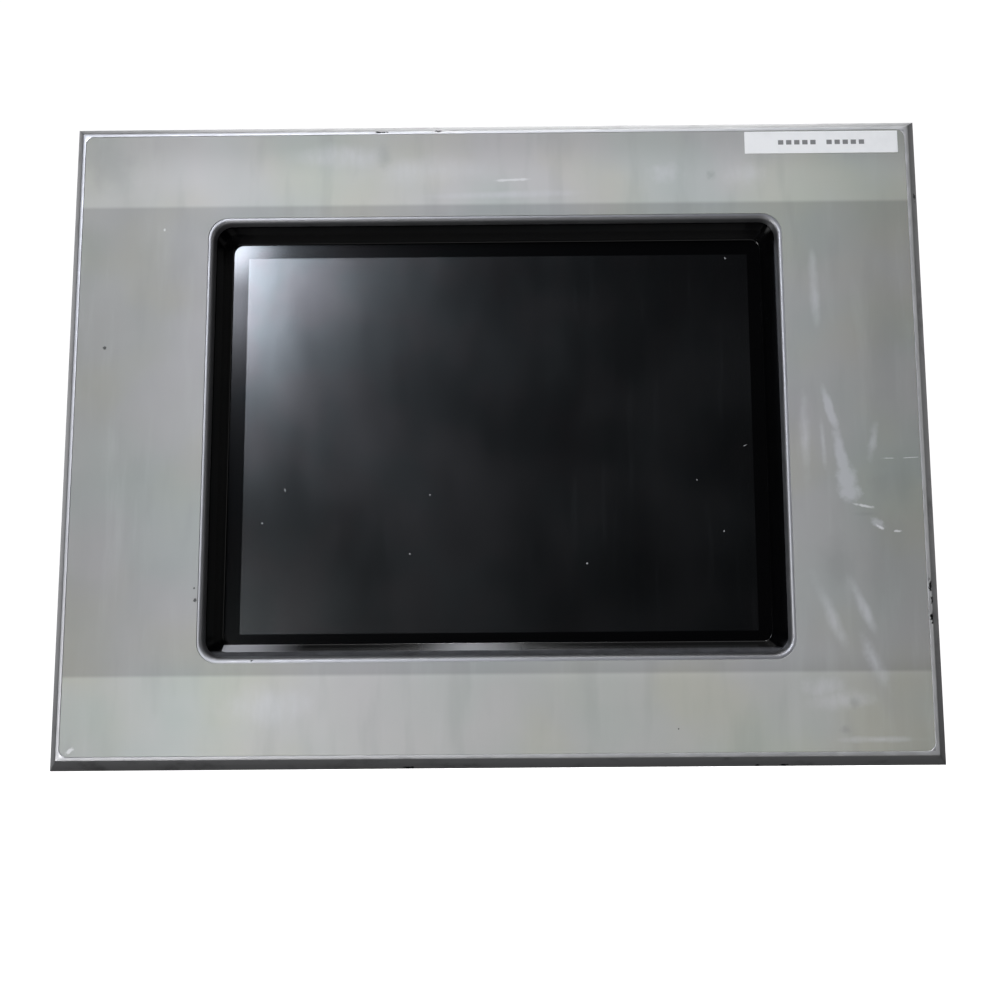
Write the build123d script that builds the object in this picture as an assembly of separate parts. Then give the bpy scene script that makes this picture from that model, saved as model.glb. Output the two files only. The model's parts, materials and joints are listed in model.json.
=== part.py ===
from build123d import *
import os
from math import sqrt

# An operator's touch panel for a control cabinet, in millimetres. X is to the right of
# the person who uses it, Z is up, and the screen faces -Y. The origin is the centre of
# the seal's rear face, the plane where the front of the cabinet's sheet lies.

# front frame and its overlay
FRONT_W, FRONT_H = 200.0, 150.0     # outer size of the aluminium frame
FRAME_FRONT, FRAME_BACK = -5.5, -0.5
BEVEL, EDGE_LAND = 2.6, 0.6         # sloping side, and the square edge behind it
RIM = 0.8                           # bare metal between the bevel and the overlay
OVERLAY_DEPTH, OVERLAY_R = 0.25, 1.9
WINDOW_W, WINDOW_H, WINDOW_R = 133.8, 102.7, 4.7
WINDOW_CHAMFER = 0.6
RIB_BACK, RIB_WALL = 4.0, 3.0       # rib that fills the cabinet's cut-out
SEAL_W, SEAL_INSET = 3.0, 1.6

# screen well: (y, how far the wall stands in from the window's edge), front to back
WELL = [(-4.7, 1.0), (-4.3, 1.05), (-2.5, 1.35), (0.2, 2.3), (3.0, 3.8)]
WELL_R_RATE = 0.63                  # how fast its corners tighten with the inset
BEZEL_W, BEZEL_H = 151.0, 119.0
BEZEL_FRONT, BEZEL_BACK = -2.9, 3.0
SCREEN_W, SCREEN_H = 119.6, 89.4    # opening of the display's own frame

# display stack, front to back
TOUCH_W, TOUCH_H = 136.0, 105.0
FILM_Y, GLASS_Y, GLASS_BACK = 3.4, 3.6, 5.4
LCD_W, LCD_H, LCD_FRONT, LCD_BACK = 144.0, 104.6, 6.0, 19.0
BRACKET_BACK = 20.0
BRACKET_X, BRACKET_Z = 60.0, 55.8   # the four posts that carry the display's bracket

# housing
BODY_W, BODY_H, BODY_BACK = 178.0, 128.0, 62.0
WALL, BODY_R = 2.0, 3.0
POST_X, POST_Z = 81.0, 56.0
SIDE, FLOOR = BODY_W / 2, -BODY_H / 2
OPTION_X, OPTION_Z = 38.0, -8.0     # cover plate of the unused option slot
OPTION_T = 1.2
OPTION_SCREWS = (OPTION_X - 33.0, OPTION_X + 33.0)
EARTH_X, EARTH_Z = -76.0, -40.0

# main board, with its parts on the rear face
BOARD_W, BOARD_TOP, BOARD_BOTTOM = 152.0, 50.0, -61.0
BOARD_FRONT, BOARD_BACK = 32.0, 33.6
SPACER_X, SPACER_Z = 66.0, 45.0
SPACER_R = 2.75
INVERTER_Z, INVERTER_FRONT, INVERTER_SPAN = 43.0, 23.0, 38.0

# sockets along the lower edge: x of each centre
POWER_X, SERIAL_25_X, SERIAL_9_X, LAN_X, USB_X = -66.0, -27.0, 18.5, 45.0, 63.0
SERIAL_Y = 39.8                     # middle of both serial ports
SERIAL_25_PITCH, SERIAL_9_PITCH = 47.04, 24.99
SERIAL_25_SHELL, SERIAL_9_SHELL = 38.9, 16.9
JACK_AF, JACK_LENGTH, JACK_HOLE_R = 4.75, 5.0, 1.2

# power socket and its plug
PLUG_W, PLUG_DEPTH, PLUG_TOP, PLUG_END = 15.6, 8.2, -54.0, -73.0
HEADER_LOW, HEADER_HIGH = -61.9, -50.0
PLUG_Y = 38.3
POLE_PITCH = 5.08
RELEASE_W, RELEASE_D, RELEASE_LENGTH, RELEASE_PROUD = 2.6, 2.2, 3.6, 1.0

# memory card and mode switch, on the right-hand side
CARD_L, CARD_W, CARD_T = 32.0, 24.0, 2.1
CARD_Z, CARD_Y, CARD_OUT = 20.0, 35.7, 2.0
MODE_Z, MODE_PITCH, MODE_COUNT = -20.0, 2.54, 4

# mounting clamps
CLAMP_X, CLAMP_AXIS = 78.0, 5.6     # place along the wall, and screw's height over it
CLAMP_FRONT, CLAMP_REAR = 16.0, 23.0
SCREW_R, SCREW_TIP, SCREW_HEAD, HEAD_L = 1.95, 7.9, 29.8, 4.0
PAD_FACE, PAD_T, PAD_R = 6.5, 3.0, 3.8
CLAMP_PLACES = [(-CLAMP_X, 1), (CLAMP_X, 1), (-CLAMP_X, -1), (CLAMP_X, -1)]

TAP_M3_R, CLEAR_M3_R = 1.25, 1.7
nodes = {}


def front_plane(y):
    """A plane at depth y, seen from the front: X to the right, Z up."""
    return Plane(origin=(0, y, 0), x_dir=(1, 0, 0), z_dir=(0, -1, 0))


def outline(width, height, radius):
    return RectangleRounded(width, height, radius) if radius else Rectangle(width, height)


def slab(width, height, y_front, y_back, radius=0.0, x=0.0, z=0.0):
    """A plate that faces the user, with its outline in X and Z."""
    flat = front_plane(y_back) * Pos(x, z) * outline(width, height, radius)
    return extrude(flat, amount=y_back - y_front)


def ring(width, height, hole_w, hole_h, y_front, y_back, radius=0.0, hole_r=0.0):
    return slab(width, height, y_front, y_back, radius) - slab(
        hole_w, hole_h, y_front, y_back, hole_r)


def block(x, y, z):
    """A box between the pairs of limits x, y and z."""
    size = [high - low for low, high in (x, y, z)]
    middle = [(high + low) / 2 for low, high in (x, y, z)]
    return Pos(*middle) * Box(*size)


def rod_y(x, z, radius, y_front, y_back):
    turn = Pos(x, (y_front + y_back) / 2, z) * Rot(90, 0, 0)
    return turn * Cylinder(radius, y_back - y_front)


def rod_z(x, y, radius, z_low, z_high):
    return Pos(x, y, (z_low + z_high) / 2) * Cylinder(radius, z_high - z_low)


def hex_y(x, z, across_flats, y_front, y_back):
    flat = front_plane(y_back) * Pos(x, z) * RegularPolygon(across_flats / sqrt(3), 6)
    return extrude(flat, amount=y_back - y_front)


def corners(x, z):
    return [(-x, -z), (x, -z), (-x, z), (x, z)]


def group(solids):
    """Loose solids of one node, such as a set of screws."""
    return Compound(children=[piece.solid() for piece in solids])


def strip(points, radius, thickness, width, x):
    """A flat cable: a path of (y, z) points with rounded bends, width along X."""
    path = FilletPolyline(*points, radius=radius)
    section = Plane(origin=(x - width / 2, 0, 0), x_dir=(0, 1, 0), z_dir=(1, 0, 0))
    return extrude(section * trace(path, thickness), amount=width)


def pan_screw(x, z, seat, length, head_r=2.8, head_h=2.0, shank_r=1.2):
    """A machine screw along Y, its head standing behind the seat."""
    head = rod_y(x, z, head_r, seat, seat + head_h)
    head = fillet(head.edges().sort_by(Axis.Y)[-1:], 0.9)
    drive = block((x - 1.9, x + 1.9), (seat + 1.0, seat + head_h), (z - 0.35, z + 0.35))
    cross = block((x - 0.35, x + 0.35), (seat + 1.0, seat + head_h), (z - 1.9, z + 1.9))
    return head - drive - cross + rod_y(x, z, shank_r, seat - length, seat)


# ---- front ----

def front_frame():
    slope = loft([
        front_plane(FRAME_BACK - EDGE_LAND) * Rectangle(FRONT_W, FRONT_H),
        front_plane(FRAME_FRONT) * Rectangle(FRONT_W - 2 * BEVEL, FRONT_H - 2 * BEVEL)])
    frame = slope + slab(FRONT_W, FRONT_H, FRAME_BACK - EDGE_LAND, FRAME_BACK)
    inset = 2 * (BEVEL + RIM)
    recess_floor = FRAME_FRONT + OVERLAY_DEPTH
    frame -= slab(FRONT_W - inset, FRONT_H - inset, FRAME_FRONT, recess_floor, OVERLAY_R)
    narrow = 2 * WINDOW_CHAMFER
    hole = (WINDOW_W - narrow, WINDOW_H - narrow, WINDOW_R - WINDOW_CHAMFER)
    frame -= slab(hole[0], hole[1], FRAME_FRONT, FRAME_BACK, hole[2])
    frame -= loft([
        front_plane(recess_floor) * RectangleRounded(WINDOW_W, WINDOW_H, WINDOW_R),
        front_plane(recess_floor + WINDOW_CHAMFER) * RectangleRounded(*hole)])
    frame -= slab(BEZEL_W + 1, BEZEL_H + 1, -3.0, FRAME_BACK, 3.5)
    frame += ring(BODY_W, BODY_H, BODY_W - 2 * RIB_WALL, BODY_H - 2 * RIB_WALL,
                  FRAME_BACK, RIB_BACK, BODY_R, 1.0)
    for x, z in corners(POST_X, POST_Z):
        frame += rod_y(x, z, 4.0, FRAME_BACK - 1, 8.0)
        frame -= rod_y(x, z, TAP_M3_R, 0.0, 8.0)
    outer = 2 * SEAL_INSET - 0.2
    inner = outer + 2 * SEAL_W + 0.4
    frame -= ring(FRONT_W - outer, FRONT_H - outer, FRONT_W - inner, FRONT_H - inner,
                  FRAME_BACK - 1.0, FRAME_BACK, 2.6, 2.0)
    return frame


def panel_seal():
    inner = 2 * (SEAL_INSET + SEAL_W)
    seal = ring(FRONT_W - 2 * SEAL_INSET, FRONT_H - 2 * SEAL_INSET, FRONT_W - inner,
                FRONT_H - inner, FRAME_BACK - 1.0, 0.0, 2.5, 2.1)
    rear_edges = seal.faces().sort_by(Axis.Y)[-1].edges()
    return chamfer(rear_edges, 0.3)


def overlay_film():
    gap = 2 * (BEVEL + RIM) + 0.1
    front = FRAME_FRONT + 0.03
    return ring(FRONT_W - gap, FRONT_H - gap, WINDOW_W + 0.1, WINDOW_H + 0.1, front,
                FRAME_FRONT + OVERLAY_DEPTH, OVERLAY_R, WINDOW_R)


def asset_label():
    return slab(36.0, 5.4, FRAME_FRONT - 0.12, FRAME_FRONT + 0.03, 0.5, 76.9, 68.6)


def display_bezel():
    bezel = slab(BEZEL_W, BEZEL_H, BEZEL_FRONT, BEZEL_BACK, 3.0)
    neck = 2 * (WINDOW_CHAMFER + 0.2)
    bezel += slab(WINDOW_W - neck, WINDOW_H - neck, WELL[0][0], BEZEL_FRONT, 3.9)
    sections = [
        front_plane(y) * RectangleRounded(WINDOW_W - 2 * inset, WINDOW_H - 2 * inset,
                                          WINDOW_R - WELL_R_RATE * inset)
        for y, inset in WELL]
    bezel -= loft(sections, ruled=True)
    for x, z in corners(BRACKET_X, BRACKET_Z):
        bezel += rod_y(x, z, 2.8, BEZEL_BACK - 0.5, LCD_BACK)
        bezel -= rod_y(x, z, 1.0, LCD_BACK - 9, LCD_BACK)
    return bezel


def touch_parts():
    wide, high = TOUCH_W, TOUCH_H
    nodes["touch_gasket"] = ring(wide, high, 127.2, 96.1, BEZEL_BACK, FILM_Y, 2.0, 2.0)
    nodes["touch_film"] = slab(wide, high, FILM_Y, GLASS_Y, 2.0)
    nodes["touch_glass"] = slab(wide, high, GLASS_Y, GLASS_BACK, 1.0)
    nodes["dust_gasket"] = ring(134.0, 102.0, 122.0, 91.8, GLASS_BACK, LCD_FRONT, 1.0)
    down, back = -TOUCH_H / 2, BOARD_FRONT
    route = [(4.5, down), (4.5, down - 4.7), (back, down - 4.7)]
    nodes["touch_tail"] = strip(route, 1.6, 0.3, 12.0, 30.0)


# ---- display module ----

def display_parts():
    shell = slab(LCD_W, LCD_H, LCD_FRONT, 12.0, 1.0)
    shell -= slab(LCD_W - 1, LCD_H - 1, LCD_FRONT + 0.5, 12.0, 0.6)
    nodes["lcd_frame"] = shell - slab(SCREEN_W, SCREEN_H, LCD_FRONT, 7.0)
    nodes["lcd_glass"] = slab(141.0, 101.0, LCD_FRONT + 0.5, 8.8)
    tray = slab(LCD_W - 1.2, LCD_H - 1.2, 8.9, LCD_BACK, 0.8)
    nodes["lcd_tray"] = tray - slab(131.0, 101.0, 8.9, 17.5)
    nodes["light_guide"] = slab(130.0, 95.0, 9.2, 17.5, z=-2.5)
    tube = Pos(0, 13.0, 48.0) * Rot(0, 90, 0) * Cylinder(1.3, 128.0)
    for end in (-1, 1):
        tube += block(sorted((end * 62.5, end * 65.2)), (10.8, 17.5), (45.6, 50.4))
    nodes["backlight_lamp"] = tube


def display_bracket():
    """A sheet that holds the display against the bezel and carries the boards."""
    plate = slab(148.0, 104.0, LCD_BACK, BRACKET_BACK, 2.0)
    for x, z in corners(BRACKET_X, BRACKET_Z):
        toward_middle = -1.5 if z > 0 else 1.5
        plate += slab(12.0, 12.0, LCD_BACK, BRACKET_BACK, 2.0, x, z + toward_middle)
    plate -= slab(100.0, 62.0, LCD_BACK, BRACKET_BACK, 4.0, z=-2.0)
    for x, z in corners(BRACKET_X, BRACKET_Z):
        plate -= rod_y(x, z, 1.5, LCD_BACK, BRACKET_BACK)
    return plate


def bracket_fasteners():
    nodes["bracket_screws"] = group(
        pan_screw(x, z, BRACKET_BACK, 8.0, 2.4, 1.6, 0.95) for x, z in corners(BRACKET_X, BRACKET_Z))
    spots = corners(SPACER_X, SPACER_Z)
    tall = [hex_y(x, z, 2 * SPACER_R, BRACKET_BACK, BOARD_FRONT)
            - rod_y(x, z, TAP_M3_R, BOARD_FRONT - 7, BOARD_FRONT) for x, z in spots]
    short = [rod_y(x, INVERTER_Z, 2.5, BRACKET_BACK, INVERTER_FRONT)
             for x in (-INVERTER_SPAN, INVERTER_SPAN)]
    nodes["board_spacers"] = group(tall + short)
    nodes["board_screws"] = group(
        pan_screw(x, z, BOARD_BACK, 6.0, shank_r=1.15) for x, z in spots)


# ---- electronics ----

def main_board():
    middle = (BOARD_TOP + BOARD_BOTTOM) / 2
    board = slab(BOARD_W, BOARD_TOP - BOARD_BOTTOM, BOARD_FRONT, BOARD_BACK, 1.5, z=middle)
    for x, z in corners(SPACER_X, SPACER_Z):
        board -= rod_y(x, z, CLEAR_M3_R, BOARD_FRONT, BOARD_BACK)
    return board


def board_parts():
    back = BOARD_BACK
    nodes["processor"] = slab(27.0, 27.0, back, back + 2.2, x=-8.0, z=12.0)
    sink = slab(31.0, 31.0, back + 2.2, back + 13.2, x=-8.0, z=12.0)
    for step in range(-3, 4):
        x = -8.0 + 4.2 * step
        sink -= block((x - 1.2, x + 1.2), (back + 4.4, back + 13.2), (-4.0, 28.0))
    nodes["processor_heatsink"] = sink
    nodes["memory_chips"] = group(
        slab(18.4, 10.2, back, back + 1.2, x=24.0, z=z) for z in (2.0, 16.0))
    nodes["cell_holder"] = (slab(23.0, 23.0, back, back + 5.4, 2.0, -42.0, 30.0)
                            - rod_y(-42.0, 30.0, 10.2, back + 1.6, back + 5.4))
    nodes["coin_cell"] = rod_y(-42.0, 30.0, 10.0, back + 1.7, back + 4.9)
    nodes["power_capacitors"] = group(
        rod_y(x, -30.0, 5.0, back, back + 12.5) for x in (-68.0, -56.5, -45.0))


def display_supply():
    """The lamp's supply, a small board with its transformer above the bracket's opening."""
    board = slab(84.0, 15.0, INVERTER_FRONT, INVERTER_FRONT + 1.4, x=0.0, z=INVERTER_Z)
    coil = slab(17.0, 12.0, INVERTER_FRONT + 1.4, INVERTER_FRONT + 7.4, 1.0, -28.0,
                INVERTER_Z)
    nodes["inverter_board"] = group([board, coil])
    route = [(LCD_BACK, 6.0), (25.0, 6.0), (25.0, -8.0), (BOARD_FRONT, -8.0)]
    nodes["display_ribbon"] = strip(route, 2.5, 0.4, 22.0, 34.0)


# ---- sockets ----

def d_shape(width, height, corner):
    """The outline of a serial connector: wider on one long side."""
    half, top, low = height / 2, width / 2, width / 2 - height * 0.176
    shape = make_face(Polyline((-top, half), (top, half), (low, -half), (-low, -half),
                               close=True))
    return fillet(shape.vertices(), corner)


def floor_plane(z):
    """A plane at height z seen from below: its normal points down, +Y stays up."""
    return Plane(origin=(0, 0, z), x_dir=(-1, 0, 0), z_dir=(0, 0, -1))


def serial_port(x, shell_w, pitch, pins_long, pins_short, hollow):
    """A flange inside the wall and a D-shaped shell that comes out through it."""
    flange_top, wall_in, shell_end = FLOOR + WALL + 0.9, FLOOR + WALL, FLOOR - 4.2
    flange = block((x - pitch / 2 - 3.0, x + pitch / 2 + 3.0),
                   (SERIAL_Y - 6.2, SERIAL_Y + 6.2), (wall_in, flange_top))
    for side in (-1, 1):
        flange -= rod_z(x + side * pitch / 2, SERIAL_Y, 1.6, wall_in, flange_top)
    at = floor_plane(wall_in) * Pos(-x, SERIAL_Y)
    port = flange + extrude(at * d_shape(shell_w, 8.3, 2.0), amount=wall_in - shell_end)
    port += block((x - shell_w / 2, x + shell_w / 2), (SERIAL_Y - 5.4, SERIAL_Y + 5.4),
                  (flange_top, flange_top + 9.0))
    rows = ((pins_long, 1.42), (pins_short, -1.42))
    places = [(x + (i - (count - 1) / 2) * 2.77, SERIAL_Y + dy)
              for count, dy in rows for i in range(count)]
    if hollow:
        inside = at * d_shape(shell_w - 0.9, 7.4, 1.7)
        port -= extrude(inside, amount=wall_in - shell_end)
        for px, py in places:
            port += rod_z(px, py, 0.5, shell_end + 0.9, wall_in)
    else:
        for px, py in places:
            port -= rod_z(px, py, 0.6, shell_end, shell_end + 5.0)
    return port


def jack_screw(x):
    head = FLOOR - JACK_LENGTH
    body = extrude(floor_plane(FLOOR) * Pos(-x, SERIAL_Y)
                   * RegularPolygon(JACK_AF / sqrt(3), 6), amount=JACK_LENGTH)
    body += rod_z(x, SERIAL_Y, 1.4, FLOOR, FLOOR + WALL + 4.0)
    return body - rod_z(x, SERIAL_Y, JACK_HOLE_R, head, head + 4.5)


def jack_places():
    spans = ((SERIAL_9_X, SERIAL_9_PITCH), (SERIAL_25_X, SERIAL_25_PITCH))
    return [x + side * pitch / 2 for x, pitch in spans for side in (-1, 1)]


def lan_port():
    """A network socket that looks down through the wall, latch side to the rear."""
    y, bottom = BOARD_BACK, FLOOR - 0.3
    body = block((LAN_X - 8.0, LAN_X + 8.0), (y, y + 13.4), (bottom, bottom + 15.5))
    body -= block((LAN_X - 5.9, LAN_X + 5.9), (y + 1.8, y + 9.0), (bottom, bottom + 13.0))
    body -= block((LAN_X - 3.1, LAN_X + 3.1), (y + 9.0, y + 11.2), (bottom, bottom + 9.0))
    return body


def usb_host_port():
    """A flat metal shell with a tongue inside."""
    y, bottom = BOARD_BACK + 0.6, FLOOR - 0.6
    shell = block((USB_X - 6.6, USB_X + 6.6), (y, y + 5.8), (bottom, bottom + 14.0))
    shell -= block((USB_X - 6.25, USB_X + 6.25), (y + 0.35, y + 5.45),
                   (bottom, bottom + 12.0))
    return shell + block((USB_X - 5.6, USB_X + 5.6), (y + 0.9, y + 2.8),
                         (bottom + 1.0, bottom + 12.5))


def power_header():
    y, half = PLUG_Y, PLUG_W / 2 + 1.2
    body = block((POWER_X - half, POWER_X + half), (BOARD_BACK, y + 5.0),
                 (HEADER_LOW, HEADER_HIGH))
    body -= block((POWER_X - half + 1.1, POWER_X + half - 1.1),
                  (y - PLUG_DEPTH / 2 - 0.1, y + PLUG_DEPTH / 2 + 0.1),
                  (HEADER_LOW, HEADER_HIGH - 1.8))
    for pole in (-1, 0, 1):
        x = POWER_X + pole * POLE_PITCH
        body += block((x - 0.5, x + 0.5), (y - 0.5, y + 0.5),
                      (HEADER_LOW + 1.2, HEADER_HIGH))
    return body


def power_plug():
    """A three-pole plug with wire entries and release buttons on its lower end."""
    y, half = PLUG_Y, PLUG_W / 2
    body = block((POWER_X - half, POWER_X + half), (y - PLUG_DEPTH / 2, y + PLUG_DEPTH / 2),
                 (PLUG_END, PLUG_TOP))
    body = chamfer(body.edges().group_by(Axis.Z)[0], 0.5)
    for pole in (-1, 0, 1):
        x = POWER_X + pole * POLE_PITCH
        body -= block((x - 0.8, x + 0.8), (y - 0.8, y + 0.8), (PLUG_TOP - 8.0, PLUG_TOP))
        body -= rod_z(x, y - 1.9, 1.3, PLUG_END, PLUG_END + 6.0)
        body -= release_shape(x, 0.12, RELEASE_LENGTH + 1.2)
    return body


def release_shape(x, gap, depth):
    low = PLUG_END - (RELEASE_PROUD if gap == 0 else 0)
    y = PLUG_Y + 2.1
    return block((x - RELEASE_W / 2 - gap, x + RELEASE_W / 2 + gap),
                 (y - RELEASE_D / 2 - gap, y + RELEASE_D / 2 + gap), (low, low + depth))


def card_parts():
    end = SIDE + CARD_OUT
    card = block((end - CARD_L, end), (CARD_Y - CARD_T / 2, CARD_Y + CARD_T / 2),
                 (CARD_Z - CARD_W / 2, CARD_Z + CARD_W / 2))
    inner = card.edges().filter_by(Axis.Y).sort_by(Axis.X)[:2].sort_by(Axis.Z)
    card = chamfer(inner[-1:], 3.5)
    nodes["memory_card"] = fillet(card.edges().filter_by(Axis.Z).sort_by(Axis.X)[-2:], 0.4)
    low = end - CARD_L - 2.0
    slot = block((low, SIDE - WALL - 3.0), (BOARD_BACK, BOARD_BACK + 4.4),
                 (CARD_Z - 14.0, CARD_Z + 14.0))
    nodes["card_slot"] = slot - block(
        (low + 1.5, SIDE - WALL - 3.0), (CARD_Y - CARD_T / 2 - 0.1, CARD_Y + CARD_T / 2 + 0.1),
        (CARD_Z - CARD_W / 2 - 0.15, CARD_Z + CARD_W / 2 + 0.15))


def mode_switch_parts():
    """A row of small sliders on a block that shows through the right-hand wall."""
    face = SIDE - WALL + 0.4
    body = block((face - 13.0, face), (BOARD_BACK, BOARD_BACK + 6.2),
                 (MODE_Z - 6.0, MODE_Z + 6.0))
    y = BOARD_BACK + 1.2
    for i in range(MODE_COUNT):
        z = MODE_Z + (i - (MODE_COUNT - 1) / 2) * MODE_PITCH
        body -= block((face - 1.6, face), (y, y + 3.6), (z - 0.75, z + 0.75))
        nodes[f"mode_slider_{i + 1}"] = block((face - 1.4, face + 1.0),
                                              (y + 0.15, y + 1.75), (z - 0.62, z + 0.62))
    nodes["mode_switch"] = body


# ---- housing ----

def vent_rows():
    """The cooling slots: rear wall, top wall, and lower wall behind the sockets."""
    back = BODY_BACK
    for i in range(-9, 10):
        x = 6.0 * i
        yield block((x - 1.1, x + 1.1), (back - 3, back + 1), (20.0, 48.0))
        yield block((x - 1.1, x + 1.1), (24.0, 50.0), (-FLOOR - 3, -FLOOR + 1))
        yield block((x - 1.1, x + 1.1), (50.5, 57.5), (FLOOR - 1, FLOOR + 3))
    for i in range(-4, 5):
        z = 6.0 * i
        yield block((-SIDE - 1, -SIDE + 3), (24.0, 50.0), (z - 1.1, z + 1.1))


def socket_holes():
    deep = (FLOOR - 1, FLOOR + 3)
    power = PLUG_W / 2 + 0.7
    yield block((POWER_X - power, POWER_X + power), (PLUG_Y - 4.8, PLUG_Y + 4.8), deep)
    yield block((LAN_X - 8.2, LAN_X + 8.2), (BOARD_BACK - 0.2, BOARD_BACK + 13.6), deep)
    yield block((USB_X - 6.9, USB_X + 6.9), (BOARD_BACK + 0.3, BOARD_BACK + 6.7), deep)
    for x, width in ((SERIAL_9_X, SERIAL_9_SHELL), (SERIAL_25_X, SERIAL_25_SHELL)):
        at = floor_plane(FLOOR + 3) * Pos(-x, SERIAL_Y)
        yield extrude(at * d_shape(width + 0.8, 9.1, 2.2), amount=4)
    for x in jack_places():
        yield rod_z(x, SERIAL_Y, 1.55, *deep)
    side = (SIDE - 3, SIDE + 1)
    yield block(side, (CARD_Y - 2.1, CARD_Y + 2.1), (CARD_Z - 13.0, CARD_Z + 13.0))
    yield block(side, (BOARD_BACK - 0.2, BOARD_BACK + 6.4), (MODE_Z - 6.3, MODE_Z + 6.3))


def rear_cover():
    shell = slab(BODY_W, BODY_H, RIB_BACK, BODY_BACK, BODY_R)
    shell = fillet(shell.faces().sort_by(Axis.Y)[-1].edges(), 1.5)
    shell -= slab(BODY_W - 2 * WALL, BODY_H - 2 * WALL, RIB_BACK, BODY_BACK - WALL, 1.2)
    for hole in list(vent_rows()) + list(socket_holes()):
        shell -= hole
    for x, z in corners(POST_X, POST_Z):
        shell -= rod_y(x, z, CLEAR_M3_R, BODY_BACK - 3, BODY_BACK + 1)
    for x in OPTION_SCREWS:
        shell -= rod_y(x, OPTION_Z, TAP_M3_R, BODY_BACK - 3, BODY_BACK + 1)
    shell -= slab(56.0, 16.0, BODY_BACK - 3, BODY_BACK + 1, 1.0, OPTION_X, OPTION_Z)
    shell -= rod_y(EARTH_X, EARTH_Z, 2.1, BODY_BACK - 3, BODY_BACK + 1)
    for x, side in CLAMP_PLACES:
        z = sorted((side * (-FLOOR - 3), side * (-FLOOR + 1)))
        shell -= block((x - 3.3, x + 3.3), (26.0, 31.2), z)
    return shell


def cover_fasteners():
    nodes["cover_posts"] = group(
        hex_y(x, z, 6.0, 8.0, BODY_BACK - WALL) + rod_y(x, z, 1.2, 2.0, 8.0)
        - rod_y(x, z, TAP_M3_R, BODY_BACK - WALL - 9, BODY_BACK - WALL)
        for x, z in corners(POST_X, POST_Z))
    spots = [(x, z, BODY_BACK, 8.0) for x, z in corners(POST_X, POST_Z)]
    spots += [(x, OPTION_Z, BODY_BACK + OPTION_T, 4.5) for x in OPTION_SCREWS]
    nodes["cover_screws"] = group(pan_screw(*spot) for spot in spots)
    plate = slab(74.0, 22.0, BODY_BACK, BODY_BACK + OPTION_T, 1.5, OPTION_X, OPTION_Z)
    for x in OPTION_SCREWS:
        plate -= rod_y(x, OPTION_Z, CLEAR_M3_R, BODY_BACK, BODY_BACK + OPTION_T)
    nodes["option_plate"] = plate
    nodes["rating_plate"] = slab(58.0, 26.0, BODY_BACK, BODY_BACK + 0.3, 1.5, -38.0, -10.0)
    stud = hex_y(EARTH_X, EARTH_Z, 7.0, BODY_BACK, BODY_BACK + 2.2)
    nodes["earth_stud"] = stud + rod_y(EARTH_X, EARTH_Z, 2.0, BODY_BACK - 5, BODY_BACK + 11)


# ---- clamps ----

def over_wall(side, low, high):
    """Limits in z at these heights over the top wall (side 1) or the lower one (-1)."""
    return sorted((side * (-FLOOR + low), side * (-FLOOR + high)))


def clamp_bracket(x, side):
    block_part = block((x - 5.5, x + 5.5), (CLAMP_FRONT, CLAMP_REAR),
                       over_wall(side, 0.1, 10.2))
    block_part = fillet(block_part.edges().filter_by(Axis.X), 0.8)
    block_part += block((x - 4.5, x + 4.5), (CLAMP_REAR - 1, 30.8), over_wall(side, 0.1, 1.7))
    block_part += block((x - 3.0, x + 3.0), (28.4, 30.8), over_wall(side, -3.6, 1.7))
    block_part += block((x - 3.0, x + 3.0), (26.3, 30.8), over_wall(side, -3.6, -2.1))
    z = side * (-FLOOR + CLAMP_AXIS)
    return block_part - rod_y(x, z, SCREW_R + 0.05, CLAMP_FRONT, CLAMP_REAR)


def clamp_parts():
    nodes["clamp_brackets"] = group(clamp_bracket(x, side) for x, side in CLAMP_PLACES)
    for i, (x, side) in enumerate(CLAMP_PLACES, 1):
        z = side * (-FLOOR + CLAMP_AXIS)
        pad = rod_y(x, z, PAD_R, PAD_FACE, PAD_FACE + PAD_T)
        pad = fillet(pad.edges(), 0.5)
        nodes[f"clamp_pad_{i}"] = pad - rod_y(x, z, SCREW_R + 0.08, SCREW_TIP - 0.05,
                                              PAD_FACE + PAD_T)
        head = rod_y(x, z, 3.4, SCREW_HEAD, SCREW_HEAD + HEAD_L)
        head = fillet(head.edges().sort_by(Axis.Y)[-1:], 0.5)
        head -= hex_y(x, z, 3.0, SCREW_HEAD + 1.5, SCREW_HEAD + HEAD_L)
        nodes[f"clamp_screw_{i}"] = head + rod_y(x, z, SCREW_R, SCREW_TIP, SCREW_HEAD)


def build_nodes():
    nodes["front_frame"] = front_frame()
    nodes["panel_seal"] = panel_seal()
    nodes["overlay_film"] = overlay_film()
    nodes["asset_label"] = asset_label()
    nodes["display_bezel"] = display_bezel()
    touch_parts()
    display_parts()
    nodes["display_bracket"] = display_bracket()
    bracket_fasteners()
    nodes["main_board"] = main_board()
    board_parts()
    display_supply()
    nodes["serial_port_9"] = serial_port(SERIAL_9_X, SERIAL_9_SHELL, SERIAL_9_PITCH,
                                         5, 4, True)
    nodes["serial_port_25"] = serial_port(SERIAL_25_X, SERIAL_25_SHELL, SERIAL_25_PITCH,
                                          13, 12, False)
    nodes["port_jack_screws"] = group(jack_screw(x) for x in jack_places())
    nodes["lan_port"] = lan_port()
    nodes["usb_host_port"] = usb_host_port()
    nodes["power_header"] = power_header()
    nodes["power_plug"] = power_plug()
    for i, pole in enumerate((-1, 0, 1), 1):
        nodes[f"release_button_{i}"] = release_shape(POWER_X + pole * POLE_PITCH, 0,
                                                     RELEASE_LENGTH)
    card_parts()
    mode_switch_parts()
    nodes["rear_cover"] = rear_cover()
    cover_fasteners()
    clamp_parts()


build_nodes()
os.makedirs("parts", exist_ok=True)
for name, shape in nodes.items():
    export_step(shape, f"parts/{name}.step")
print(len(nodes), "nodes")
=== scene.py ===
import json
from math import cos, pi, radians, sin, tau

import bmesh
import bpy
from mathutils import Matrix, Vector

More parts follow.
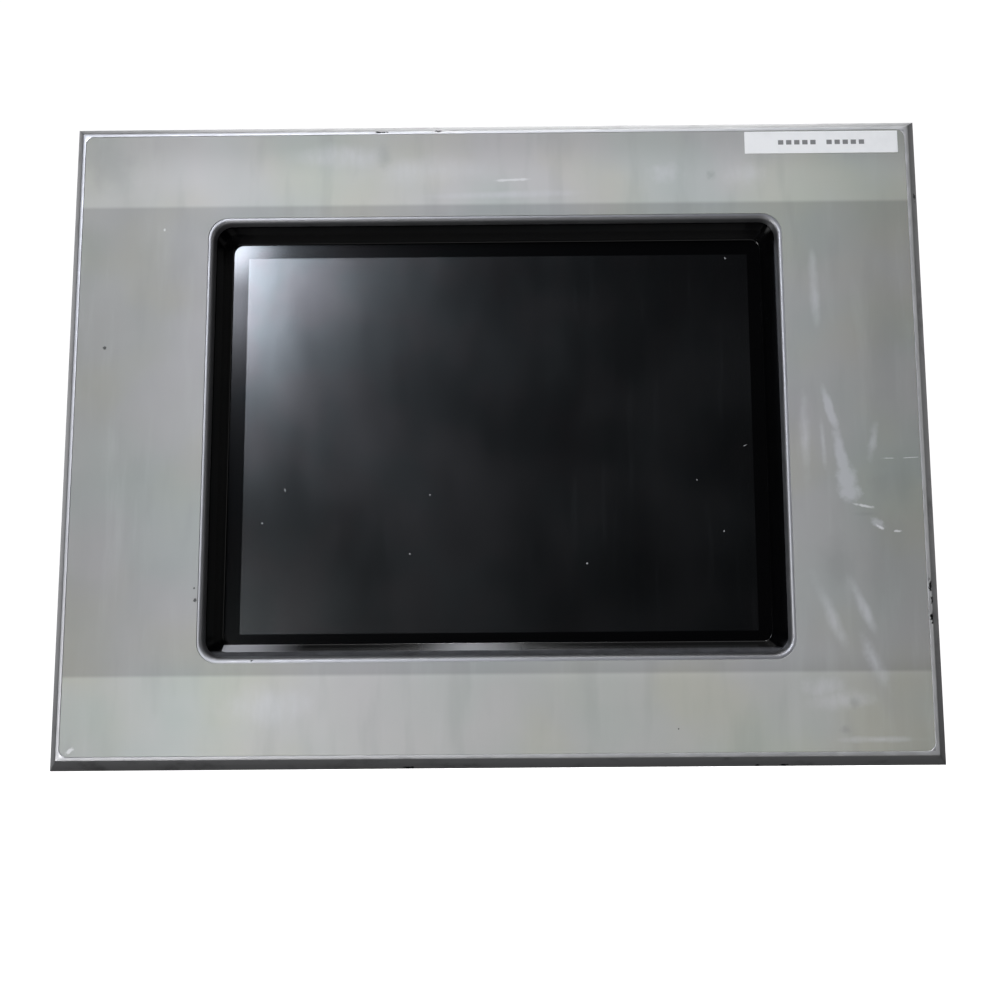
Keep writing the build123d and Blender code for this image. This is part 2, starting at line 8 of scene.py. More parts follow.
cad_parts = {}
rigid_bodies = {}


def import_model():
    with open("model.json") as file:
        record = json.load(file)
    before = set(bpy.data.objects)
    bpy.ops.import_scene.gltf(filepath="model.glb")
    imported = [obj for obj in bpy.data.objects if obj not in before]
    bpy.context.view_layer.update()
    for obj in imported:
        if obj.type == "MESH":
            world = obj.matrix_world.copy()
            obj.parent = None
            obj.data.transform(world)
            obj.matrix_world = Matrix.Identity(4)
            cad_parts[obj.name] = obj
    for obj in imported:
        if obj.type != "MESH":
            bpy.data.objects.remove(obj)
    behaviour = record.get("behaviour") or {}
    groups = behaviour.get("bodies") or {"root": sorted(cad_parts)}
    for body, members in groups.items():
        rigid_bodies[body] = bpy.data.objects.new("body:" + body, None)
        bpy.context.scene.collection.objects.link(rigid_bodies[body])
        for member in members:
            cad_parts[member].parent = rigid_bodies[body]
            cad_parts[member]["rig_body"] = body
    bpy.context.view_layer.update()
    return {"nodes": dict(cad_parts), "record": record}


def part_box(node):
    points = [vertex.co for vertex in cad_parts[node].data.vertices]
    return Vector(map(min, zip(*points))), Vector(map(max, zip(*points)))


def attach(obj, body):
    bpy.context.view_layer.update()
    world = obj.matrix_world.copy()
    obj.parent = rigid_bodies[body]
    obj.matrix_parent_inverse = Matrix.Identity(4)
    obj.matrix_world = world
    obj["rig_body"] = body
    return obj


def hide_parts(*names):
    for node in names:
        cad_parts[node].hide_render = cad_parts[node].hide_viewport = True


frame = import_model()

# An operator's touch panel: metres, X to the right, Z up, the screen faces -Y.
MM = 0.001
BODY_OF = {o.name: o["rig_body"] for o in frame["nodes"].values()}

# ---- sizes of the front, as the CAD model has them ----
FRAME_LOW, FRAME_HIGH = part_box("front_frame")
HALF_W, HALF_H = FRAME_HIGH.x, FRAME_HIGH.z
FRONT_Y = FRAME_LOW.y
BACK_Y = FRONT_Y + 5.0 * MM
BEVEL, EDGE_LAND, RIM = 2.6 * MM, 0.6 * MM, 0.8 * MM
RECESS, RECESS_R = 0.25 * MM, 1.9 * MM
WINDOW_HALF = (66.9 * MM, 51.35 * MM)
WINDOW_R, WINDOW_R_RATE = 4.7 * MM, 0.63
BODY_LOW, BODY_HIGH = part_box("rear_cover")
SCREEN_HALF = (59.8 * MM, 44.7 * MM)
SCREEN_SHIFT = (0.3 * MM, -0.5 * MM)
BAND_EDGE = 54.2 * MM
RIB_HALF, RIB_R = (76.0 * MM, 60.0 * MM), 3.5 * MM

# ---- mesh helpers ----
ARC_STEPS = 10
SHARP_ANGLE = 35


def rounded_loop(half_w, half_h, radius, y, side_steps=1):
    """Points of a rounded rectangle at depth y, anticlockwise as the user sees it."""
    signs = ((1, -1), (1, 1), (-1, 1), (-1, -1))
    arcs = []
    for quarter, (sx, sz) in enumerate(signs):
        centre = Vector((sx * (half_w - radius), y, sz * (half_h - radius)))
        turns = [pi / 2 * (quarter - 1 + i / ARC_STEPS) for i in range(ARC_STEPS + 1)]
        arcs.append([centre + radius * Vector((cos(a), 0, sin(a))) for a in turns])
    points = []
    for arc, following in zip(arcs, arcs[1:] + arcs[:1]):
        points += arc
        points += [arc[-1].lerp(following[0], i / side_steps) for i in range(1, side_steps)]
    return points


def join_rows(bm, rows, closed=False):
    """Four-sided faces between rows of equally many vertices, each row a closed loop."""
    pairs = list(zip(rows, rows[1:])) + ([(rows[-1], rows[0])] if closed else [])
    for one, other in pairs:
        for i in range(len(one)):
            j = (i + 1) % len(one)
            bm.faces.new((one[i], one[j], other[j], other[i]))


def join_and_cap(bm, rows):
    """The same with a flat face over the first row and over the last."""
    join_rows(bm, rows)
    bm.faces.new(rows[0])
    bm.faces.new(rows[-1])


def finish_mesh(bm, name, smooth_angle=SHARP_ANGLE):
    """A mesh object from bm, with its sharp edges kept sharp and the rest smooth."""
    bmesh.ops.recalc_face_normals(bm, faces=bm.faces)
    for face in bm.faces:
        face.smooth = True
    for edge in bm.edges:
        edge.smooth = (len(edge.link_faces) == 2
                       and edge.calc_face_angle(0) < radians(smooth_angle))
    mesh = bpy.data.meshes.new(name)
    bm.to_mesh(mesh)
    bm.free()
    piece = bpy.data.objects.new(name, mesh)
    bpy.context.scene.collection.objects.link(piece)
    return piece


def rows_of(bm, loops):
    """A row of vertices for each loop of points."""
    return [[bm.verts.new(p) for p in loop] for loop in loops]


def ring_piece(name, profile, side_steps=1):
    """A closed ring from a profile of (half width, half height, corner radius, y)."""
    bm = bmesh.new()
    loops = [rounded_loop(*stage, side_steps) for stage in profile]
    join_rows(bm, rows_of(bm, loops), closed=True)
    return finish_mesh(bm, name)


def plate_piece(name, profile):
    """A closed plate from a profile like a ring's, with a flat face at each end."""
    bm = bmesh.new()
    join_and_cap(bm, rows_of(bm, [rounded_loop(*stage) for stage in profile]))
    return finish_mesh(bm, name)


def round_rod(bm, profile, at, steps=32):
    """A turned solid along Y through (x, z) = at, from a profile of (radius, y)."""
    join_and_cap(bm, rows_of(bm, [
        [(at[0] + radius * cos(tau * i / steps), y, at[1] + radius * sin(tau * i / steps))
         for i in range(steps)] for radius, y in profile]))


# an M4 thread: its pitch and depth, and how finely a turn of it is drawn
PITCH, THREAD_DEPTH = 0.7 * MM, 0.38 * MM
THREAD_STEPS, THREAD_TURN = 8, 24


def thread(bm, at, radius, y_low, y_high):
    """A right-hand screw thread along Y: a rod whose radius follows the helix."""
    count = int((y_high - y_low) / PITCH * THREAD_STEPS)
    loops = []
    for k in range(count + 1):
        y = y_low + (y_high - y_low) * k / count
        fade = min(1.0, (y - y_low) / PITCH, (y_high - y) / PITCH)
        loop = []
        for i in range(THREAD_TURN):
            along = (y / PITCH + i / THREAD_TURN) % 1.0
            groove = 1.0 - abs(2.0 * along - 1.0)
            r = radius - THREAD_DEPTH * max(groove * fade, 1.0 - fade)
            angle = tau * i / THREAD_TURN
            loop.append((at[0] + r * cos(angle), y, at[1] + r * sin(angle)))
        loops.append(loop)
    join_and_cap(bm, rows_of(bm, loops))


def softened(node, width):
    """A copy of a CAD node with its hard edges rounded, which stands for the node."""
    bm = bmesh.new()
    bm.from_mesh(frame["nodes"][node].data)
    bmesh.ops.remove_doubles(bm, verts=bm.verts, dist=1e-6)
    bmesh.ops.dissolve_limit(bm, angle_limit=radians(0.5), verts=bm.verts, edges=bm.edges)
    piece = finish_mesh(bm, node + "_edged")
    bevel = piece.modifiers.new("edges", "BEVEL")
    bevel.width, bevel.segments, bevel.limit_method = width, 2, "ANGLE"
    bevel.angle_limit = radians(SHARP_ANGLE)
    evaluated = piece.evaluated_get(bpy.context.evaluated_depsgraph_get())
    piece.data = bpy.data.meshes.new_from_object(evaluated)
    piece.modifiers.clear()
    place(piece, node)
    return piece


def place(piece, *nodes):
    """The piece stands for these CAD nodes and rides on their body."""
    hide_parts(*nodes)
    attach(piece, BODY_OF[nodes[0]])


# ---- materials ----

class Paint:
    """A node-based material. Positions in it are the object's own, in metres."""

    def __init__(self, name, colour, roughness, metallic=0.0, **more):
        self.material = bpy.data.materials.new(name)
        self.material.use_nodes = True
        self.tree = self.material.node_tree
        self.shader = self.tree.nodes["Principled BSDF"]
        self.set("Base Color", (*colour, 1.0))
        self.set("Roughness", roughness)
        self.set("Metallic", metallic)
        for key, value in more.items():
            self.set(key.replace("_", " "), value)
        self.here = self.tree.nodes.new("ShaderNodeTexCoord").outputs["Object"]

    def set(self, socket, value):
        """A value or another node's output, for one of the shader's sockets."""
        if isinstance(value, bpy.types.NodeSocket):
            self.tree.links.new(value, self.shader.inputs[socket])
        else:
            self.shader.inputs[socket].default_value = value

    def node(self, kind, inputs, output=0, **settings):
        made = self.tree.nodes.new("ShaderNode" + kind)
        for key, value in settings.items():
            setattr(made, key, value)
        for key, value in inputs.items():
            if isinstance(value, bpy.types.NodeSocket):
                self.tree.links.new(value, made.inputs[key])
            else:
                made.inputs[key].default_value = value
        return made.outputs[output]

    def math(self, operation, a, b=0.0):
        return self.node("Math", {0: a, 1: b}, operation=operation)

    def split(self, axis):
        return self.node("SeparateXYZ", {0: self.here}, output="XYZ".index(axis))

    def stretched(self, x, y, z):
        return self.node("VectorMath", {0: self.here, 1: (x, y, z)}, operation="MULTIPLY")

    def noise(self, size, detail=3.0, rough=0.55, at=None):
        """Noise from 0 to 1 with features of about this size, in metres."""
        return self.node("TexNoise", {"Vector": at or self.here, "Scale": 1.0 / size,
                                      "Detail": detail, "Roughness": rough})

    def span(self, value, low, high, to_low=0.0, to_high=1.0, smooth=True):
        return self.node("MapRange", {0: value, 1: low, 2: high, 3: to_low, 4: to_high},
                         interpolation_type="SMOOTHSTEP" if smooth else "LINEAR")

    def mix(self, factor, a, b, blend="MIX"):
        made = self.tree.nodes.new("ShaderNodeMix")
        made.data_type, made.blend_type = "RGBA", blend
        for socket, value in ((0, factor), (6, a), (7, b)):
            if isinstance(value, bpy.types.NodeSocket):
                self.tree.links.new(value, made.inputs[socket])
            else:
                value = (*value, 1.0) if socket else value
                made.inputs[socket].default_value = value
        return made.outputs[2]

    def bump(self, height, depth, strength=1.0):
        self.set("Normal", self.node("Bump", {"Height": height, "Distance": depth,
                                              "Strength": strength}))

    def spot(self, x, z, wide, high=None, edge=0.5, ragged=0.0, lean=0.0):
        """1 inside an ellipse in mm at (x, z) and 0 outside, with a soft edge."""
        flat = self.node("VectorMath", {0: self.here, 1: (x * MM, 0, z * MM)},
                         operation="SUBTRACT")
        turned = self.node("VectorRotate", {"Vector": flat, "Angle": radians(lean)},
                           rotation_type="Y_AXIS")
        scale = (1 / (wide * MM), 0.0, 1 / ((high or wide) * MM))
        scaled = self.node("VectorMath", {0: turned, 1: scale}, operation="MULTIPLY")
        far = self.node("VectorMath", {0: scaled}, output="Value", operation="LENGTH")
        if ragged:
            rough = self.span(self.noise(max(wide, high or wide) * 0.5 * MM, 4.0), 0.3, 0.7,
                              -ragged, ragged, smooth=False)
            far = self.math("ADD", far, rough)
        return self.span(far, 1.0, 1.0 - edge)

    def inside(self, low, high):
        """1 inside the box between two corners in mm."""
        mask = None
        for axis, a, b in zip("XYZ", low, high):
            off = self.math("ABSOLUTE", self.math("SUBTRACT", self.split(axis),
                                                  (a + b) / 2 * MM))
            near = self.math("LESS_THAN", off, (b - a) / 2 * MM)
            mask = near if mask is None else self.math("MULTIPLY", mask, near)
        return mask

    def most(self, masks):
        result = masks[0]
        for mask in masks[1:]:
            result = self.math("MAXIMUM", result, mask)
        return result


def overlay_paint():
    """Matte silver-grey film: three bands, faint mottling, smears, specks and scratches, with
    painted shade towards its edges and a painted glint.
    """
    p = Paint("overlay_film", (0.3, 0.3, 0.3), 0.5, Specular_IOR_Level=0.3)
    height = p.node("Math", {0: p.split("Z")}, operation="ABSOLUTE")
    band = p.span(height, BAND_EDGE - 0.5 * MM, BAND_EDGE + 0.5 * MM)
    colour = p.mix(band, (0.345, 0.345, 0.337), (0.485, 0.485, 0.466))
    # painted shade: the film darker towards its left and right edges, where less light falls
    sides = p.span(p.node("Math", {0: p.split("X")}, operation="ABSOLUTE"),
                   62 * MM, 98 * MM)
    colour = p.mix(sides, colour, (0.78, 0.78, 0.76), "MULTIPLY")
    # painted shade: the film darker towards its top edge, where less light falls
    painted_top_shade = p.span(p.split("Z"), 60 * MM, 71 * MM)
    colour = p.mix(painted_top_shade, colour, (0.80, 0.79, 0.79), "MULTIPLY")
    # painted shade: the lower band darker towards the right, away from the light
    painted_lower_shade = p.math("MULTIPLY", p.span(p.split("Z"), -50 * MM, -57 * MM),
                  p.span(p.split("X"), -75 * MM, 20 * MM))
    colour = p.mix(painted_lower_shade, colour, (0.84, 0.84, 0.82), "MULTIPLY")
    tints = ((31, (0.84, 0.97, 0.92), 0.45), (23, (1.02, 1.00, 0.86), 0.50),
             (40, (1.00, 0.94, 1.02), 0.30), (13, (0.90, 0.93, 0.92), 0.40))
    for size, tint, share in tints:
        shifted = p.node("VectorMath", {0: p.here, 1: (size * 3.1, size, -size * 1.7)},
                         operation="ADD")
        cloud = p.span(p.noise(size * MM, 2.0, 0.4, shifted), 0.42, 0.68, 0.0, share)
        colour = p.mix(cloud, colour, tint, "MULTIPLY")
    streaks = p.noise(5 * MM, 4.0, 0.6, p.stretched(1.0, 1.0, 0.12))
    colour = p.mix(p.span(streaks, 0.50, 0.80, 0.0, 0.13), colour, (0.54, 0.55, 0.55))
    shady = p.noise(6 * MM, 3.0, 0.5, p.stretched(1.0, 1.0, 0.2))
    colour = p.mix(p.span(shady, 0.30, 0.50, 0.16, 0.0), colour, (0.20, 0.21, 0.20))
    pale = p.most([p.spot(x, z, w, h, 1.0, 0.25, lean) for x, z, w, h, lean in SMEARS])
    wiped = p.span(p.noise(2.2 * MM, 4.0, 0.6, p.stretched(1.0, 1.0, 0.25)), 0.3, 0.7, 0.5, 1.0)
    pale = p.math("MULTIPLY", pale, wiped)
    colour = p.mix(p.math("MULTIPLY", pale, 0.40), colour, (0.62, 0.62, 0.65))
    swipe = p.most([p.spot(x, z, w, h, 0.6, 0.2, lean) for x, z, w, h, lean in SWIPE])
    colour = p.mix(p.math("MULTIPLY", swipe, 0.36), colour, (0.62, 0.62, 0.66))
    shade = p.most([p.spot(x, z, w, h, 1.0, 0.2, 0) for x, z, w, h in SHADES])
    colour = p.mix(p.math("MULTIPLY", shade, 0.30), colour, (0.19, 0.20, 0.19))
    # scuffs painted white, and one painted highlight: a glint at the film's bottom-left corner
    white = p.most([p.spot(x, z, w, h, 0.6, 0.3, lean) for x, z, w, h, lean in SCUFFS_AND_GLINT])
    colour = p.mix(p.math("MULTIPLY", white, 0.60), colour, (0.75, 0.75, 0.75))
    dark = p.most([p.spot(x, z, r, r, 0.5, 0.3) for x, z, r in PITS])
    colour = p.mix(p.math("MULTIPLY", dark, 0.92), colour, (0.02, 0.02, 0.02))
    p.set("Base Color", colour)
    p.set("Roughness", p.span(p.noise(9 * MM, 3.0), 0.3, 0.7, 0.48, 0.56))
    p.bump(p.noise(0.25 * MM, 2.0), 0.012 * MM, 0.5)
    return p.material


# marks on the overlay, in mm: x, z, half width, half height, lean in degrees
SWIPE = [(76.4, 4.5, 1.3, 6.5, 16), (78.4, -5.5, 1.8, 7.5, 8), (79.6, -11.5, 2.9, 5.5, 2),
         (80.0, -14.2, 3.3, 2.6, 0), (86.2, -21.4, 2.2, 1.3, -37)]
SMEARS = [(73.9, 33.0, 1.5, 13.0, 2),
          (70.6, -2.0, 1.6, 12.0, 0), (74.6, -3.0, 0.9, 7.0, 3), (86.0, -2.0, 1.4, 6.0, -12),
          (76.0, -60.5, 9.0, 3.2, 4), (72.5, -57.5, 6.5, 3.0, 0), (84.0, -52.0, 2.2, 9.0, 24),
          (75.0, -42.0, 2.0, 12.0, 22), (82.0, -40.0, 1.6, 10.0, 24), (59.0, 60.8, 6.5, 4.0, 0),
          (40.0, 61.5, 5.0, 3.0, 0), (-15.0, 62.5, 20.0, 5.0, 0), (-52.0, -61.0, 14.0, 6.0, 0),
          (0.0, 56.5, 26.0, 1.2, 1), (-36.0, 66.0, 16.0, 4.0, 0), (85.0, -69.0, 12.0, 1.0, 0)]
SHADES = [(87.5, -12.0, 4.5, 7.0), (77.0, -30.0, 6.0, 8.0), (79.3, -61.0, 2.0, 1.8),
          (76.9, -66.9, 1.8, 1.4), (88.0, -30.0, 8.0, 16.0),
          (50.8, 60.8, 1.7, 1.7), (90.0, 20.0, 7.0, 24.0), (92.0, -12.0, 4.0, 10.0),
          (-90.0, 64.0, 10.0, 9.0), (-26.0, 66.0, 2.5, 4.0), (84.0, -19.2, 4.0, 0.8)]
SCUFFS_AND_GLINT = [(83.2, -17.4, 3.0, 0.45, -11), (86.6, -22.2, 1.3, 0.40, -30),
          (90.5, -23.2, 1.1, 0.32, 0), (94.2, -6.5, 2.1, 0.14, 3),
          (89.3, -6.6, 1.9, 0.12, 0), (-77.3, 48.7, 0.35, 0.40, 0),
          # (-94.2, -70.2) is a painted glint, a highlight at the film's bottom-left corner
          (-94.2, -70.2, 0.60, 1.35, -52), (4.2, 60.1, 5.2, 0.45, 2)]
PITS = [(-90.2, 20.6, 0.50), (-67.5, -37.4, 0.48), (-67.8, -34.7, 0.28), (40.2, -66.4, 0.2)]


def aluminium_paint():
    """Satin aluminium, with painted shade and some dirt on the sloping sides, painted light on
    the rim and at the window's edge, and small chips.
    """
    p = Paint("frame_aluminium", (0.8, 0.8, 0.8), 0.5, 1.0)
    grain = p.noise(0.5 * MM, 3.0, 0.6, p.stretched(0.08, 1.0, 1.0))
    colour = p.mix(p.span(grain, 0.3, 0.7, 0.0, 0.5), (0.62, 0.62, 0.63), (0.54, 0.54, 0.55))
    across = p.math("ABSOLUTE", p.split("X"))
    up = p.math("ABSOLUTE", p.split("Z"))
    # painted light on the window's edge: the flat strip painted bright, lighter on the left
    # than on the right (painted highlight), and the slope under it painted dark (painted shade)
    inner = p.math("LESS_THAN", across, WINDOW_HALF[0] + 1 * MM)
    inner = p.math("MULTIPLY", inner, p.math("LESS_THAN", up, WINDOW_HALF[1] + 1 * MM))
    below = p.span(p.split("Y"), FRONT_Y + 0.05 * MM, FRONT_Y + 0.30 * MM)
    painted_land_highlight = p.mix(p.span(p.split("X"), -WINDOW_HALF[0], WINDOW_HALF[0], smooth=False),
                 (0.95, 0.95, 0.95), (0.55, 0.55, 0.56))
    colour = p.mix(inner, colour, p.mix(below, painted_land_highlight, (0.30, 0.30, 0.31)))
    # painted light and shade: the rim painted darker on the left and lighter on the right,
    # which sets how bright its highlights look
    rim = p.math("MAXIMUM", p.math("GREATER_THAN", across, HALF_W - 3.5 * MM),
                 p.math("GREATER_THAN", up, HALF_H - 3.5 * MM))
    painted_rim_light = p.mix(p.span(p.split("X"), -HALF_W, HALF_W, smooth=False),
                 (0.32, 0.32, 0.33), (0.95, 0.95, 0.95))
    colour = p.mix(rim, colour, painted_rim_light)
    # painted shade: the frame's sloping outer sides painted darker, standing in for the dark
    # surroundings they reflect; random dirt on them below
    slope = p.span(p.split("Y"), FRONT_Y + 0.15 * MM, FRONT_Y + 0.5 * MM)
    outside = p.math("MAXIMUM", p.span(across, HALF_W - 3.3 * MM, HALF_W - 2.7 * MM),
                     p.span(up, HALF_H - 3.3 * MM, HALF_H - 2.7 * MM))
    side = p.math("MULTIPLY", slope, outside)
    colour = p.mix(p.math("MULTIPLY", side, 0.85), colour, (0.47, 0.47, 0.48))
    dirt = p.span(p.noise(7 * MM, 5.0, 0.65), 0.48, 0.75, 0.0, 0.5)
    colour = p.mix(p.math("MULTIPLY", dirt, side), colour, (0.10, 0.10, 0.10))
    chips = p.most([p.spot(x, z, w, h, 0.35, 0.6) for x, z, w, h in CHIPS])
    colour = p.mix(chips, colour, (0.015, 0.015, 0.015))
    p.set("Base Color", colour)
    rough = p.span(p.noise(3 * MM, 4.0), 0.3, 0.7, 0.45, 0.53)
    p.set("Roughness", p.mix(side, rough, (0.55, 0.55, 0.55)))
    p.bump(grain, 0.01 * MM, 0.4)
    return p.material


# dark chips and bits of dirt on the frame's edges, in mm
CHIPS = [(97.3, -35.3, 0.5, 1.3), (97.5, -38.6, 0.35, 1.0), (97.3, -42.4, 0.5, 1.4),
         (-19.9, -74.6, 1.4, 0.3), (57.9, -74.7, 0.5, 0.3), (63.9, -74.7, 1.2, 0.3),
         (-26.9, 72.1, 1.6, 0.22), (-13.4, 72.5, 0.9, 0.55),
         (-54.6, -50.9, 0.35, 0.2), (99.0, 56.0, 0.5, 1.2)]
# dents in the rim, in mm: x, z, half width, depth
DENTS = [(-26.9, 72.4, 1.6, 0.22), (-13.4, 72.5, 1.2, 0.35), (97.3, -35.3, 1.6, 0.25),
         (97.3, -42.4, 1.8, 0.30), (-9.8, 72.4, 0.8, 0.15), (-19.9, -72.4, 1.5, 0.2)]


def gloss_black_paint():
    """Polished black moulding, with a faint haze of dust, fine wiping marks, and painted
    reflections on the lower wall.
    """
    p = Paint("black_gloss", (0.001, 0.001, 0.001), 0.10, Specular_IOR_Level=0.35)
    dust = p.span(p.noise(2.5 * MM, 5.0, 0.7), 0.52, 0.80, 0.0, 0.25)
    colour = p.mix(dust, (0.0008, 0.0008, 0.0010), (0.0030, 0.0030, 0.0030))
    # painted reflection with dust: a grey strip on the lower wall's sill, where the wall
    # reflects light
    sill = p.span(p.split("Z"), -SCREEN_HALF[1] - 3.9 * MM, -SCREEN_HALF[1] - 4.7 * MM)
    sill_reflection_and_dust = p.math("MULTIPLY", sill, p.span(p.noise(4 * MM, 4.0), 0.2, 0.8, 0.6, 1.0))
    colour = p.mix(sill_reflection_and_dust, colour, (0.105, 0.106, 0.112))
    # painted reflection: bright patches on the foot of the lower wall, near the left corner and
    # in the middle, where light is reflected
    foot = p.inside((-62.6, 0.2, -50.0), (62.6, 3.1, -47.45))
    painted_reflections = p.math("MAXIMUM", p.span(p.split("X"), *(x * MM for x in CORNER_REFLECTION)),
                   p.math("MULTIPLY", p.spot(*MIDDLE_REFLECTION, 1.0), 0.7))
    p.set("Base Color", p.mix(p.math("MULTIPLY", painted_reflections, foot), colour, (0.40, 0.40, 0.41)))
    p.set("Roughness", p.span(p.noise(6 * MM, 4.0), 0.3, 0.7, 0.10, 0.18))
    p.bump(p.noise(1.5 * MM, 2.0), 0.006 * MM, 0.4)
    return p.material


# painted reflections at the foot of the lower wall, in mm: where the one at the corner starts
# and where it is full, and where the one in the middle is brightest
CORNER_REFLECTION, MIDDLE_REFLECTION = (-43.0, -61.0), (-6.0, -48.3, 14.0, 8.0)


def screen_paint():
    """Hard-coated film over a dark display: a glossy border and a slightly hazier middle."""
    p = Paint("touch_surface", (0.006, 0.006, 0.007), 0.2, Specular_IOR_Level=1.0)
    wide, high = SCREEN_HALF
    x = p.math("ABSOLUTE", p.math("SUBTRACT", p.split("X"), SCREEN_SHIFT[0]))
    z = p.math("ABSOLUTE", p.math("SUBTRACT", p.split("Z"), SCREEN_SHIFT[1]))
    inside = p.math("MULTIPLY", p.span(x, wide, wide - 0.2 * MM),
                    p.span(z, high, high - 0.2 * MM))
    haze = p.span(p.noise(24 * MM, 2.0, 0.4), 0.35, 0.70)
    middle = p.mix(haze, (0.0018, 0.0019, 0.0021), (0.0042, 0.0045, 0.0048))
    colour = p.mix(inside, (0.0012, 0.0012, 0.0014), middle)
    streak = p.noise(3 * MM, 3.0, 0.6, p.stretched(1.0, 1.0, 0.08))
    dust = p.math("MULTIPLY", p.span(streak, 0.55, 0.85, 0.0, 0.15), inside)
    colour = p.mix(dust, colour, (0.03, 0.032, 0.034))
    specks = p.most([p.spot(sx, sz, w, h, 0.5, 0.2, lean) for sx, sz, w, h, lean in SPECKS])
    colour = p.mix(p.math("MULTIPLY", specks, 0.8), colour, (0.45, 0.45, 0.45))
    p.set("Base Color", colour)
    blur = p.span(p.noise(26 * MM, 2.0, 0.4), 0.3, 0.7, 0.190, 0.215)
    p.set("Roughness", p.mix(inside, (0.15, 0.15, 0.15), blur))
    wiped = p.noise(7 * MM, 3.0, 0.5, p.stretched(1.0, 1.0, 0.35))
    shine = p.span(wiped, 0.25, 0.75, 0.74, 1.14, smooth=False)
    corner = p.spot(-62.0, 47.5, 15.0, 12.0, 1.0)
    border = p.mix(corner, (0.28, 0.28, 0.28), (0.95, 0.95, 0.95))
    p.set("Specular IOR Level", p.mix(inside, border, shine))
    sheen = p.span(p.noise(12 * MM, 2.0, 0.5), 0.4, 0.6)
    p.set("Specular Tint", p.mix(sheen, (0.90, 0.97, 1.0), (0.97, 0.97, 1.0)))
    return p.material


# dust and scratches on the screen, in mm: x, z, half width, half height, lean
SPECKS = [(-49.6, -11.8, 0.12, 0.5, 10), (-54.8, -19.5, 0.25, 0.25, 0),
          (-15.7, -13.2, 0.2, 0.2, 0), (-20.3, -26.9, 0.2, 0.2, 0),
          (20.8, -29.4, 0.25, 0.25, 0), (52.7, -22.2, 0.22, 0.22, 0),
          (58.2, -2.1, 0.5, 0.12, 25), (46.7, -10.2, 0.2, 0.2, 0),
          (54.8, 43.2, 0.25, 0.25, 0)]


def label_paint():
    """White tape with a row of plain blocks where a plant number would stand."""
    p = Paint("label_tape", (0.85, 0.85, 0.84), 0.45)
    low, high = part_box("asset_label")
    middle = (low + high) / 2
    x = p.math("SUBTRACT", p.split("X"), middle.x)
    cell = p.math("FRACT", p.math("ADD", p.math("MULTIPLY", x, 1 / LABEL_PITCH), 0.5))
    marks = p.math("LESS_THAN", p.math("ABSOLUTE", p.math("SUBTRACT", cell, 0.5)),
                   LABEL_FILL / 2)
    reach = p.math("LESS_THAN", p.math("ABSOLUTE", x), LABEL_PITCH * LABEL_MARKS / 2)
    gap = p.math("GREATER_THAN", p.math("ABSOLUTE", x), LABEL_PITCH / 2)
    tall = p.math("ABSOLUTE", p.math("SUBTRACT", p.split("Z"), middle.z))
    row = p.math("LESS_THAN", tall, LABEL_TALL)
    ink = p.math("MULTIPLY", p.math("MULTIPLY", marks, reach), p.math("MULTIPLY", gap, row))
    grime = p.span(p.noise(4 * MM, 4.0), 0.4, 0.8, 0.0, 0.22)
    paper = p.mix(grime, (0.86, 0.86, 0.85), (0.66, 0.67, 0.66))
    p.set("Base Color", p.mix(p.math("MULTIPLY", ink, 0.85), paper, (0.10, 0.10, 0.10)))
    p.set("Roughness", p.span(p.noise(2 * MM), 0.3, 0.7, 0.4, 0.55))
    return p.material


# the plain blocks: their pitch, the share of it that is ink, how many, half their height
LABEL_PITCH, LABEL_FILL, LABEL_MARKS, LABEL_TALL = 1.9 * MM, 0.66, 11, 0.55 * MM


def grained_paint(name, colour, other, roughness, grain, depth, metallic=0.0, patch=8.0,
                  **more):
    """A plain finish with a fine surface grain and a slight patchy change of colour."""
    p = Paint(name, colour, roughness, metallic, **more)
    patches = p.span(p.noise(patch * MM, 4.0, 0.6), 0.35, 0.75)
    p.set("Base Color", p.mix(patches, colour, other))
    p.set("Roughness", p.span(p.noise(patch * 0.4 * MM, 3.0), 0.3, 0.7,
                              max(0.02, roughness - 0.06), roughness + 0.08))
    p.bump(p.noise(grain * MM, 2.0), depth * MM, 0.6)
    return p.material


def port_paint():
    """Tinned steel shells around dark mouldings."""
    p = Paint("port_metal", (0.6, 0.6, 0.59), 0.4, 1.0)
    patches = p.span(p.noise(3 * MM, 4.0), 0.35, 0.75)
    metal = p.mix(patches, (0.62, 0.62, 0.61), (0.52, 0.52, 0.50))
    dark = p.most([p.inside(low, high) for low, high in MOULDINGS])
    p.set("Base Color", p.mix(dark, metal, (0.02, 0.02, 0.022)))
    p.set("Metallic", p.math("SUBTRACT", 1.0, dark))
    p.set("Roughness", p.span(p.noise(2 * MM, 3.0), 0.3, 0.7, 0.34, 0.44))
    return p.material


# the dark mouldings inside the sockets, as boxes in mm: both serial ports, network, USB
MOULDINGS = [((-45.7, 36.3, -68.6), (-8.3, 43.3, -63.1)),
             ((10.5, 36.0, -62.6), (26.5, 43.6, -61.4)),
             ((39.0, 35.3, -64.2), (51.0, 44.95, -50.0)),
             ((57.3, 34.9, -63.8), (68.7, 37.1, -51.0))]


def housing_paint():
    """Fine-textured powder coat, with faint light scratches all over it."""
    p = Paint("housing_coat", (0.05, 0.052, 0.055), 0.5)
    patches = p.span(p.noise(30 * MM, 4.0, 0.6), 0.35, 0.75)
    colour = p.mix(patches, (0.046, 0.048, 0.050), (0.060, 0.062, 0.064))
    scratches = p.noise(1.2 * MM, 3.0, 0.6, p.stretched(0.05, 1.0, 1.0))
    colour = p.mix(p.span(scratches, 0.68, 0.82, 0.0, 0.35), colour, (0.13, 0.13, 0.13))
    p.set("Base Color", colour)
    p.set("Roughness", p.span(p.noise(5 * MM, 3.0), 0.3, 0.7, 0.46, 0.60))
    p.bump(p.noise(0.55 * MM, 3.0, 0.6), 0.05 * MM, 0.7)
    return p.material


